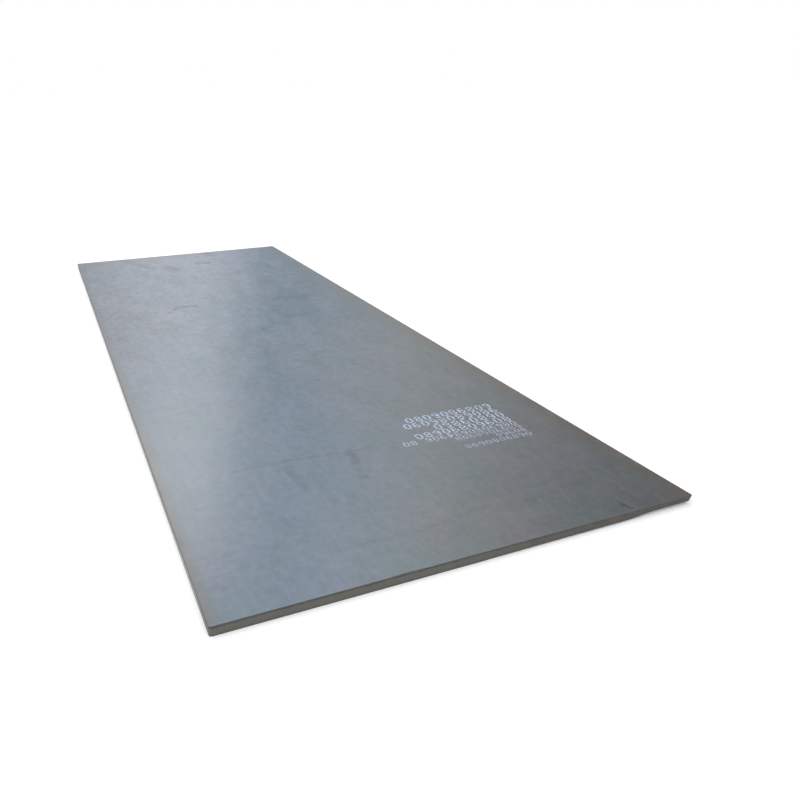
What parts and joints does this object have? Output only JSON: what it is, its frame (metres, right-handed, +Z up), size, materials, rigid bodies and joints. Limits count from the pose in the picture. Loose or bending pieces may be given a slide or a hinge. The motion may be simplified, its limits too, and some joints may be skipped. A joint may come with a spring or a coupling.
{
  "type": "steel plate",
  "caption": "Flat hot-rolled steel plate with blue-grey mill scale, square torch-cut edges and slightly rounded corners, lying flat as raw stock.",
  "frame": {"origin": "middle of the underside, which is the face that rests on the floor", "axes": "+X across the width, +Y along the length and the rolling direction, +Z up through the thickness"},
  "size_m": [2, 6, 0.038],
  "materials": {
    "mill_scale": "blue-grey hot-rolling oxide, satin, with handling scuffs; grey-brown torch-cut edges",
    "marking_paint": "thin worn off-white marking paint, matt"
  },
  "bodies": {
    "root": {"plate": "mill_scale"}
  },
  "joints": []
}
